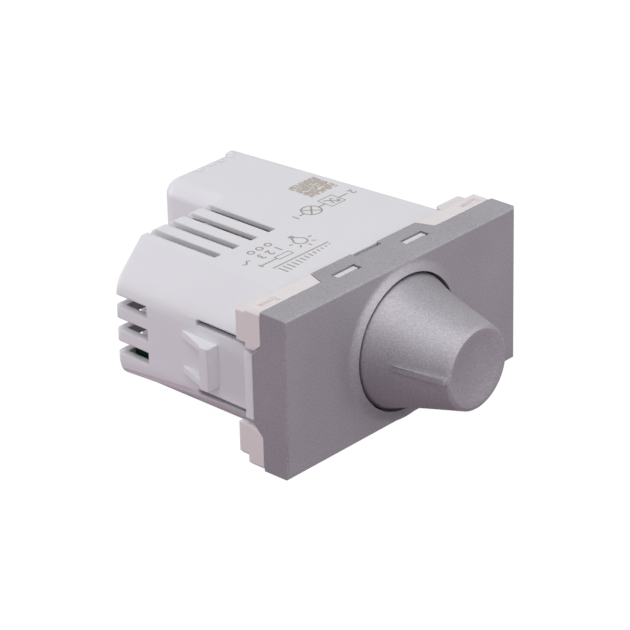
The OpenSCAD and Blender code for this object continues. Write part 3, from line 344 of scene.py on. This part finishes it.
block = Finish("terminal_plastic")
dress(block.shade(
    Base_Color=block.tones(block.noise(3 * mm), srgb(196, 196, 190), srgb(208, 208, 202)),
    Roughness=0.45 + 0.15 * block.noise(0.3 * mm),
    Normal=block.relief(block.noise(0.12 * mm), 0.008 * mm)), "terminal_block")
drawn = Finish("drawn_brass")
brass = drawn.shade(
    Base_Color=drawn.tones(drawn.noise(0.8 * mm), srgb(184, 150, 82), srgb(206, 174, 104)),
    Metallic=1.0, Roughness=0.28 + 0.2 * drawn.noise(0.3 * mm),
    Normal=drawn.relief(drawn.noise(0.2 * mm), 0.005 * mm))
dress(brass, "terminal_contacts")
for terminal in "123":
    dress(zinc, "terminal_screw_" + terminal, "clamp_cage_" + terminal)


# Potentiometer
# A 16 mm rotary potentiometer: phenolic wafer, carbon track, sprung wiper, steel can.
# Its brass bushing is held in the frame by a washer and nut, its lugs by solder on the board.

paper = Finish("phenolic_paper")
dress(paper.shade(
    Base_Color=paper.tones(paper.noise(0.8 * mm, detail=4), srgb(132, 82, 42), srgb(160, 104, 58)),
    Roughness=0.5 + 0.2 * paper.noise(0.3 * mm),
    Normal=paper.relief(paper.noise(0.15 * mm), 0.01 * mm)), "pot_wafer")
soot = Finish("carbon_film")
dress(soot.shade(
    Base_Color=soot.tones(soot.noise(0.5 * mm), srgb(24, 24, 25), srgb(38, 38, 40)),
    Roughness=0.4 + 0.2 * soot.noise(0.2 * mm)), "resistance_track")
dark = Finish("black_moulding")
dress(dark.shade(
    Base_Color=dark.tones(dark.noise(1 * mm), srgb(40, 40, 44), srgb(54, 54, 58)),
    Roughness=0.45 + 0.2 * dark.noise(0.3 * mm)), "pot_rotor")
dress(zinc, "pot_cover", "wiper_spring", "pot_washer", "pot_nut")
dress(brass, "pot_bushing", "pot_shaft")


# Rear housing
# A deep box moulded in cool white plastic with a fine spark texture.
# Comb slots and edge slots let the heat out; the tower at the rear holds the terminals.

sharp_angle = 40

# The left wall in mm: x and y of its front and rear end, then for its upper and its lower
# long edge the height at both ends, the slant's lean in degrees and the rolled radius.
wall_front = (-20.9, 6.85)
wall_rear = (-20.25, 31.8)
long_edges = ((5.79, 5.79, 45, 4.6), (-4.8, -6.336, -45, 3.0))

# The rear end of the left bottom slant in mm, and how far it flattens out there.
slant_rear_y = 31.7
slant_top_z = -5.9
slant_left_x, slant_right_x = -20.4, -16.1
slant_start_x, slant_run = -20.26, 4
slant_in, slant_down = 1.4, 0.5

# Where the latches' roots meet the side walls flush, in mm.
seam_x, seam_z = 19.2, 4.7
seam_front_y, seam_rear_y = 17.35, 20.4


def copied(node):
    """A bmesh of a CAD node with its doubles merged."""
    shape = bmesh.new()
    shape.from_mesh(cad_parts[node].data)
    bmesh.ops.remove_doubles(shape, verts=shape.verts, dist=0.001 * mm)
    return shape


def keep_flush(shape, flush):
    """Leaves the edges that meet another piece flush sharp, and marks the others to be rounded."""
    weight = shape.edges.layers.float.new("bevel_weight_edge")
    for edge in shape.edges:
        if len(edge.link_faces) == 2 and edge.calc_face_angle() > math.radians(sharp_angle):
            if all(flush(abs(v.co.x) / mm, v.co.y / mm, abs(v.co.z) / mm) for v in edge.verts):
                edge.smooth = False
            else:
                edge[weight] = 1


def soften(piece, width, angle=sharp_angle):
    """Rounds a piece's edges a little and shades it smooth between them."""
    for polygon in piece.data.polygons:
        polygon.use_smooth = True
    edges = piece.modifiers.new("Soft edges", "BEVEL")
    edges.width = width
    edges.segments = 2
    edges.limit_method = "ANGLE"
    edges.angle_limit = math.radians(angle)
    edges.miter_outer = "MITER_ARC"
    if "bevel_weight_edge" in piece.data.attributes:
        edges.limit_method = "WEIGHT"
    shading = piece.modifiers.new("Flat faces", "WEIGHTED_NORMAL")
    shading.keep_sharp = True


def plastic(name, light, deep, roughness, edge=0.3 * mm):
    """Moulded plastic: a drift of tone, a fine spark texture and edges that shade as rounded."""
    skin = Finish(name)
    drift = skin.noise(9 * mm)
    spark = skin.noise(0.11 * mm, roughness=0.6)
    x, y, z = (skin.node("ShaderNodeSeparateXYZ", {}, {0: skin.place}, axis) for axis in "XYZ")
    # The latches' roots are moulded in one with the walls, so nothing is rounded there.
    beside = (abs(x) > 19 * mm) * (y > 17.1 * mm) * (y < 20.6 * mm)
    root = beside * (abs(z) < 4.8 * mm)
    rounded = skin.node("ShaderNodeBevel", {"samples": 6}, {"Radius": edge * (1 - root)})
    spread = 0.12
    return skin.shade(
        Base_Color=skin.tones(0.75 * drift + 0.25 * spark, deep, light),
        Roughness=roughness - spread / 2 + spread * spark,
        Normal=skin.relief(spark, 0.006 * mm, rounded),
        IOR=1.46)


def roll_edge(shape, front, rear, lean, roll_r, rear_r=1.0, strips=8):
    """Rolls the long edge between the left wall and the slant over or under it, all in mm."""
    skin_depth = 0.16
    along = (rear - front).normalized()
    wall = Vector((-along.y, along.x, 0)).normalized()
    slant = Matrix.Rotation(math.radians(lean), 3, along) @ wall
    bend = math.radians(abs(lean))
    centre = front - (wall + slant).normalized() * roll_r / math.cos(bend / 2)

    def inset(point):
        """How far the rounding to the rear face draws a point in."""
        return rear_r - math.sqrt(max(0, rear_r ** 2 - max(0, point.y - rear.y) ** 2))

    def on_skin(vertex):
        """Whether a point lies on the outside of the wall, the slant or what joins them."""
        point = vertex.co / mm
        depth = min((front - point).dot(wall), (front - point).dot(slant))
        return abs(depth - inset(point)) < skin_depth

    # A fan of cuts from the roll's centre gives the skin its strips, which then move out
    # or in to the rolled radius.
    for strip in range(strips + 1):
        ray = wall.slerp(slant, strip / strips)
        skin = [face for face in shape.faces if all(on_skin(vertex) for vertex in face.verts)]
        near = {part for face in skin for part in (*face.verts, *face.edges)}
        bmesh.ops.bisect_plane(
            shape, geom=[*near, *skin], dist=0.0001 * mm,
            plane_co=centre * mm, plane_no=along.cross(ray))
    for vertex in [vertex for vertex in shape.verts if on_skin(vertex)]:
        out = vertex.co / mm - centre
        out -= along * out.dot(along)
        if out.angle(wall) + out.angle(slant) < bend + 0.001:
            vertex.co += out * ((roll_r - inset(vertex.co / mm)) / out.length - 1) * mm


cool_white = plastic("cool_white_plastic", srgb(235, 235, 240), srgb(230, 229, 235), 0.42)
box = copied("rear_housing")
for front_z, rear_z, lean, roll_r in long_edges:
    roll_edge(box, Vector((*wall_front, front_z)), Vector((*wall_rear, rear_z)), lean, roll_r)
for vertex in box.verts:
    x, y, z = vertex.co / mm
    if y > slant_rear_y and z < slant_top_z and slant_left_x < x < slant_right_x:
        run = min(1.0, (x - slant_start_x) / slant_run)
        vertex.co += Vector((slant_in * run, 0, -slant_down * (1 - run))) * mm
keep_flush(box, lambda x, y, z: x > seam_x and seam_front_y < y < seam_rear_y and z < seam_z)
housing = show(box, "housing_shell", "base", cool_white)
soften(housing, 0.2 * mm)
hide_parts("rear_housing")


# Printed marks
# Plain signs in brown-grey ink, printed on the housing's top by a pad: a lamp in its
# circuit, a bulb, a rising scale, a wire's strip length, terminal numbers and a chequered square.

ink_depth = 0.02 * mm
ink_z = cad_high.z - 0.2 * mm
line_w = 0.24 * mm
faded = Finish("brown_grey_ink")
blotch = faded.noise(0.35 * mm, detail=3, roughness=0.7)
ink = faded.shade(
    Base_Color=faded.tones(blotch, srgb(146, 136, 130), srgb(186, 177, 170)),
    Roughness=0.55 + 0.15 * blotch)


def inked(curve, name, height):
    """Turns a drawn curve or text into thin ink on the housing's top."""
    shape = as_mesh(curve)
    bmesh.ops.transform(shape, verts=shape.verts, matrix=(
        Matrix.Translation((0, 0, ink_z)) @ Matrix.Scale(height, 4, (0, 0, 1))))
    return show(shape, name, "base", ink)


def stroke(drawing, points, closed=False):
    """Adds a line through points in mm to a drawing."""
    line = drawing.splines.new("POLY")
    line.points.add(len(points) - 1)
    for point, (x, y) in zip(line.points, points):
        point.co = (x * mm, y * mm, 0, 1)
    line.use_cyclic_u = closed


def arc(x, y, radius, start=0, end=360, steps=28):
    """Points on an arc, in mm, between two angles in degrees."""
    angles = [math.radians(start + (end - start) * i / steps) for i in range(steps + 1)]
    return [(x + radius * math.cos(a), y + radius * math.sin(a)) for a in angles]


def rectangle(left, right, low, high):
    """The corners of an upright rectangle, in mm."""
    return [(left, low), (right, low), (right, high), (left, high)]


signs = bpy.data.curves.new("signs", "CURVE")
signs.dimensions = "3D"
signs.bevel_depth = line_w / 2
signs.bevel_resolution = 1

# The lamp in its circuit, and the dimmer's box with its arrow beside it.
lamp_x, lamp_y, lamp_r = 4.7, 20.25, 1.4
box_left, box_right = 7.4, 10.1
stroke(signs, arc(lamp_x, lamp_y, lamp_r)[:-1], closed=True)
for slope in (45, 135):
    stroke(signs, arc(lamp_x, lamp_y, lamp_r, slope, slope + 180, steps=1))
stroke(signs, [(2.3, lamp_y), (lamp_x - lamp_r, lamp_y)])
stroke(signs, [(lamp_x + lamp_r, lamp_y), (box_left, lamp_y)])
stroke(signs, rectangle(box_left, box_right, 19.0, 21.6), closed=True)
stroke(signs, [(7.9, 21.1), (9.6, 19.5)])
stroke(signs, [(8.9, 19.5), (9.6, 19.5), (9.6, 20.2)])
stroke(signs, [(8.1, 19.9), (8.5, 19.5), (8.6, 20.4), (9.1, 20.9), (9.4, 20.6)])
stroke(signs, [(box_right, lamp_y), (11.8, lamp_y)])

# The bulb: its glass, the three threads of its cap and five rays.
bulb_x, bulb_y, bulb_r = -3.3, 14.9, 0.95
ray_start, ray_end = 1.45, 2.1
neck_y, thread_y, thread_step = 16.1, 16.2, 0.28
stroke(signs, [(-3.65, neck_y)] + arc(bulb_x, bulb_y, bulb_r, 120, 420, 22) + [(-2.95, neck_y)])
for thread in range(3):
    height = thread_y + thread_step * thread
    stroke(signs, [(-3.7, height), (-2.9, height)])
for ray in range(5):
    angle = 180 + 45 * ray
    stroke(signs, [arc(bulb_x, bulb_y, r, angle, angle, 1)[0] for r in (ray_start, ray_end)])

# The rising scale: thirteen bars under one line, each longer than the last.
scale_x, scale_y = -1.6, 11.4
bar_step, first_bar, bar_growth = 0.8, 0.25, 0.125
for bar in range(13):
    bar_x = scale_x - bar_step * bar
    stroke(signs, [(bar_x, scale_y), (bar_x, scale_y - first_bar - bar_growth * bar)])
stroke(signs, [(-1.2, 11.9), (-11.7, 11.9)])

# A wire's strip length: its sheath, its bare end and the mark where that stops.
sheath_end, wire_end = -9.2, -12.2
sheath_low, sheath_high, wire_y = 13.1, 14.0, 13.55
stroke(signs, rectangle(-6.6, sheath_end, sheath_low, sheath_high), closed=True)
stroke(signs, [(sheath_end, wire_y), (wire_end, wire_y)])
stroke(signs, [(wire_end, sheath_low), (wire_end, sheath_high)])

# One wave for alternating current, and a ring for each terminal.
wave_x, wave_y, wave_length, wave_height, wave_points = -11.9, 15.6, 1.6, 0.32, 12
terminal_x, terminal_step = -6.9, 1.6
stroke(signs, [
    (wave_x - wave_length * i / wave_points, wave_y + wave_height * math.sin(math.tau * i / wave_points))
    for i in range(wave_points + 1)])
for terminal in range(3):
    stroke(signs, arc(terminal_x - terminal_step * terminal, 17.3, 0.45, steps=16)[:-1], closed=True)
inked(signs, "printed_signs", 2 * ink_depth / line_w)

# Each number with its middle and its height in mm, read from the rear.
numbers = [("1", 1.6, lamp_y, 1.7), ("2", 12.7, lamp_y, 1.7)] + [
    (str(i + 1), terminal_x - terminal_step * i, 15.5, 1.9) for i in range(3)]
for count, (figure, x, y, height) in enumerate(numbers, 1):
    letter = bpy.data.curves.new("number", "FONT")
    letter.body = figure
    letter.size = height * mm
    letter.align_x = "CENTER"
    letter.align_y = "CENTER"
    letter.extrude = ink_depth
    letter.offset = 0.02 * mm
    number = inked(letter, f"printed_number_{count}", 1)
    number.data.transform(Matrix.Translation((x * mm, y * mm, 0)) @ Matrix.Rotation(math.pi, 4, "Z"))

# The chequered square, with some of its cells left out at random.
cells = 18
gap_share = 0.24
square_x = (7.8 * mm, 13.0 * mm)
square_y = (22.95 * mm, 27.55 * mm)
chequer = bmesh.new()
bmesh.ops.create_grid(chequer, x_segments=cells, y_segments=cells, size=0.5)
bmesh.ops.scale(chequer, verts=chequer.verts, vec=(
    square_x[1] - square_x[0], square_y[1] - square_y[0], 1))
bmesh.ops.translate(chequer, verts=chequer.verts, vec=(
    sum(square_x) / 2, sum(square_y) / 2, ink_z + ink_depth))
dice = random.Random(7)
gone = [face for face in chequer.faces if dice.random() < gap_share]
bmesh.ops.delete(chequer, geom=gone, context="FACES")
bmesh.ops.solidify(chequer, geom=chequer.faces[:], thickness=2 * ink_depth)
pale = Finish("beige_ink")
patchy = pale.noise(0.5 * mm, detail=3, roughness=0.7)
show(chequer, "printed_square", "base", pale.shade(
    Base_Color=pale.tones(patchy, srgb(172, 161, 152), srgb(206, 198, 190)),
    Roughness=0.55 + 0.15 * patchy))


# Snap latches
# Two springy tongues of the housing, each with a tooth on two ramps.
# They snap behind the edge of the surround and bend back to let go.

# In mm: the root's front, its shoulder and its rear, half its width outside and inside its
# corners, and how far it grows into the wall, which closes the seam.
root_y, shoulder_y, root_rear_y = 17.2, 17.4, 20
root_half, corner_half = 3.3, 3.2
grown = 0.1

for side in ("left", "right"):
    tongue = copied("latch_" + side)
    for vertex in tongue.verts:
        x, y, z = vertex.co / mm
        if abs(abs(z) - root_half) < 0.01 and y > root_y:
            vertex.co.z += math.copysign(grown * mm, z)
        if root_y < y < shoulder_y and abs(z) > corner_half or y > root_rear_y:
            vertex.co.y += grown * mm
    keep_flush(tongue, lambda x, y, z: y > root_y and z > corner_half)
    latch = show(tongue, "latch_" + side + "_shell", side + "_latch", cool_white)
    soften(latch, 0.1 * mm)
    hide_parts("latch_" + side)


# Mounting frame
# A carrier moulded in warm white plastic that holds the potentiometer and the plate.
# Its four corner lobes rest on the surround, and its arms hook into the housing.

warm_white = plastic(
    "warm_white_plastic", srgb(240, 234, 235), srgb(235, 228, 229), 0.4, edge=0.16 * mm)
carrier = show(copied("mounting_frame"), "carrier", "base", warm_white)
soften(carrier, 0.12 * mm)
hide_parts("mounting_frame")


# Face plate
# A thin cover moulded in plastic and sprayed with fine metallic grey lacquer.
# It clips over the frame's hooks and curves up to a rim round the knob.


def lacquer(name, light, deep):
    """Grey lacquer with aluminium flakes: speckled, half metallic."""
    paint = Finish(name)
    drift = paint.noise(11 * mm)
    flakes = paint.noise(0.13 * mm, roughness=0.7)
    coarse = paint.noise(0.3 * mm, roughness=0.6)
    rounded = paint.node("ShaderNodeBevel", {"samples": 6}, {"Radius": 0.1 * mm})
    return paint.shade(
        Base_Color=paint.tones(0.2 * drift + 1.2 * flakes + 0.4 * coarse - 0.4, deep, light),
        Metallic=0.75, Roughness=0.48 + 0.12 * flakes,
        Normal=paint.relief(0.7 * flakes + 0.3 * coarse, 0.015 * mm, rounded))


grey = lacquer("grey_lacquer", srgb(191, 188, 195), srgb(119, 114, 120))
plate = show(copied("face_plate"), "plate_cover", "base", grey)
soften(plate, 0.1 * mm)
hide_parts("face_plate")


# Knob
# A hollow cone moulded in plastic and lacquered like the plate, pushed on the D shaft.
# A small rib on its side points at the setting.

# The rib's tip in mm: in front of tip_y and left of tip_x, its crest between two radii.
tip_x, tip_y = -6, -12
crest_low, crest_high = 6.1, 6.3
rib_lift = 0.3 * mm

knob = copied("knob")
for vertex in knob.verts:
    x, y, z = vertex.co / mm
    if y < tip_y and crest_low < math.hypot(x, z) < crest_high and x < tip_x:
        vertex.co.x -= rib_lift
cone = show(knob, "knob_cone", "control", grey)
soften(cone, 0.06 * mm, angle=25)
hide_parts("knob")


# Studio
# The object stands on a pale table under a large soft light from above.
# A second one at the front right fills the plate, so the left side stays darker,
# and a small weak one at the rear left lights the walls there.

white = (1, 1, 1, 1)
seen_share = 0.87
mirrored_share = 0.12
sky_light = 0.32


def rays(finish):
    """Masks for light that the camera sees straight, in a reflection or through glass."""
    return [finish.node("ShaderNodeLightPath", {}, {}, f"Is {kind} Ray")
            for kind in ("Camera", "Glossy", "Transmission")]


bpy.ops.mesh.primitive_plane_add(size=3, location=(0, 0, cad_low.z))
table = bpy.context.object
table.name = "table"
cloth = Finish("pale_table")
lit = cloth.node("ShaderNodeBsdfDiffuse", {}, {"Color": (0.53, 0.42, 0.48, 1)})
glow = cloth.node("ShaderNodeEmission", {}, {"Color": white, "Strength": 1.13})
seen, mirrored, through = rays(cloth)
share = seen_share * seen + mirrored_share * mirrored + seen_share * through
table.data.materials.append(cloth.end(
    cloth.node("ShaderNodeMixShader", {}, {0: share, 1: lit, 2: glow})))

sky = Finish("studio", world=True)
seen, mirrored, through = rays(sky)
strength = sky.node("ShaderNodeMapRange", {}, {
    "Value": seen.or_larger(mirrored).or_larger(through), "To Min": sky_light, "To Max": 1.0})
bpy.context.scene.world = sky.end(
    sky.node("ShaderNodeBackground", {}, {"Color": white, "Strength": strength}),
    "ShaderNodeOutputWorld")


def softbox(name, place, aim, size, power):
    """A square soft light that faces a point."""
    lamp = bpy.data.lights.new(name, "AREA")
    lamp.shape = "SQUARE"
    lamp.size = size
    lamp.energy = power
    stand = bpy.data.objects.new(name, lamp)
    stand.location = place
    stand.rotation_euler = (Vector(aim) - Vector(place)).to_track_quat("-Z", "Y").to_euler()
    bpy.context.scene.collection.objects.link(stand)


softbox("light_above", place=(-0.22, -0.1, 0.66), aim=(0, 0.015, 0), size=0.8, power=3.2)
softbox("light_rear_left", place=(-0.06, 0.145, 0.016), aim=(0, 0.038, 0.003), size=0.05, power=0.046)
softbox("light_front", place=(0.2, -0.72, 0.03), aim=(0, 0.015, 0), size=0.5, power=3.1)

# The camera's place was worked out from the plate's corners and the knob's circles.
# It looks from a turn and a rise, with a small tilt; distance and shifts are in mm.
turn, rise, tilt = math.radians(-47.012), math.radians(26.102), math.radians(-1.436)
distance, shift_right, shift_up = 418.195, -11.572, 3.306
focal_px, frame_px, sensor_mm = 3239.5, 630, 36
away = Vector((math.sin(turn) * math.cos(rise), -math.cos(turn) * math.cos(rise), math.sin(rise)))
level = Vector((math.cos(turn), math.sin(turn), 0))
steep = away.cross(level)
right = level * math.cos(tilt) + steep * math.sin(tilt)
up = steep * math.cos(tilt) - level * math.sin(tilt)
spot = away * distance * mm + right * shift_right * mm + up * shift_up * mm
lens = bpy.data.cameras.new("camera")
lens.sensor_width = sensor_mm
lens.lens = focal_px / frame_px * sensor_mm
lens.clip_start = 0.01
lens.clip_end = 20
camera = bpy.data.objects.new("camera", lens)
camera.matrix_world = Matrix((
    (right.x, up.x, away.x, spot.x),
    (right.y, up.y, away.y, spot.y),
    (right.z, up.z, away.z, spot.z),
    (0, 0, 0, 1)))
bpy.context.scene.collection.objects.link(camera)
bpy.context.scene.camera = camera
bpy.context.scene.view_settings.view_transform = "Standard"
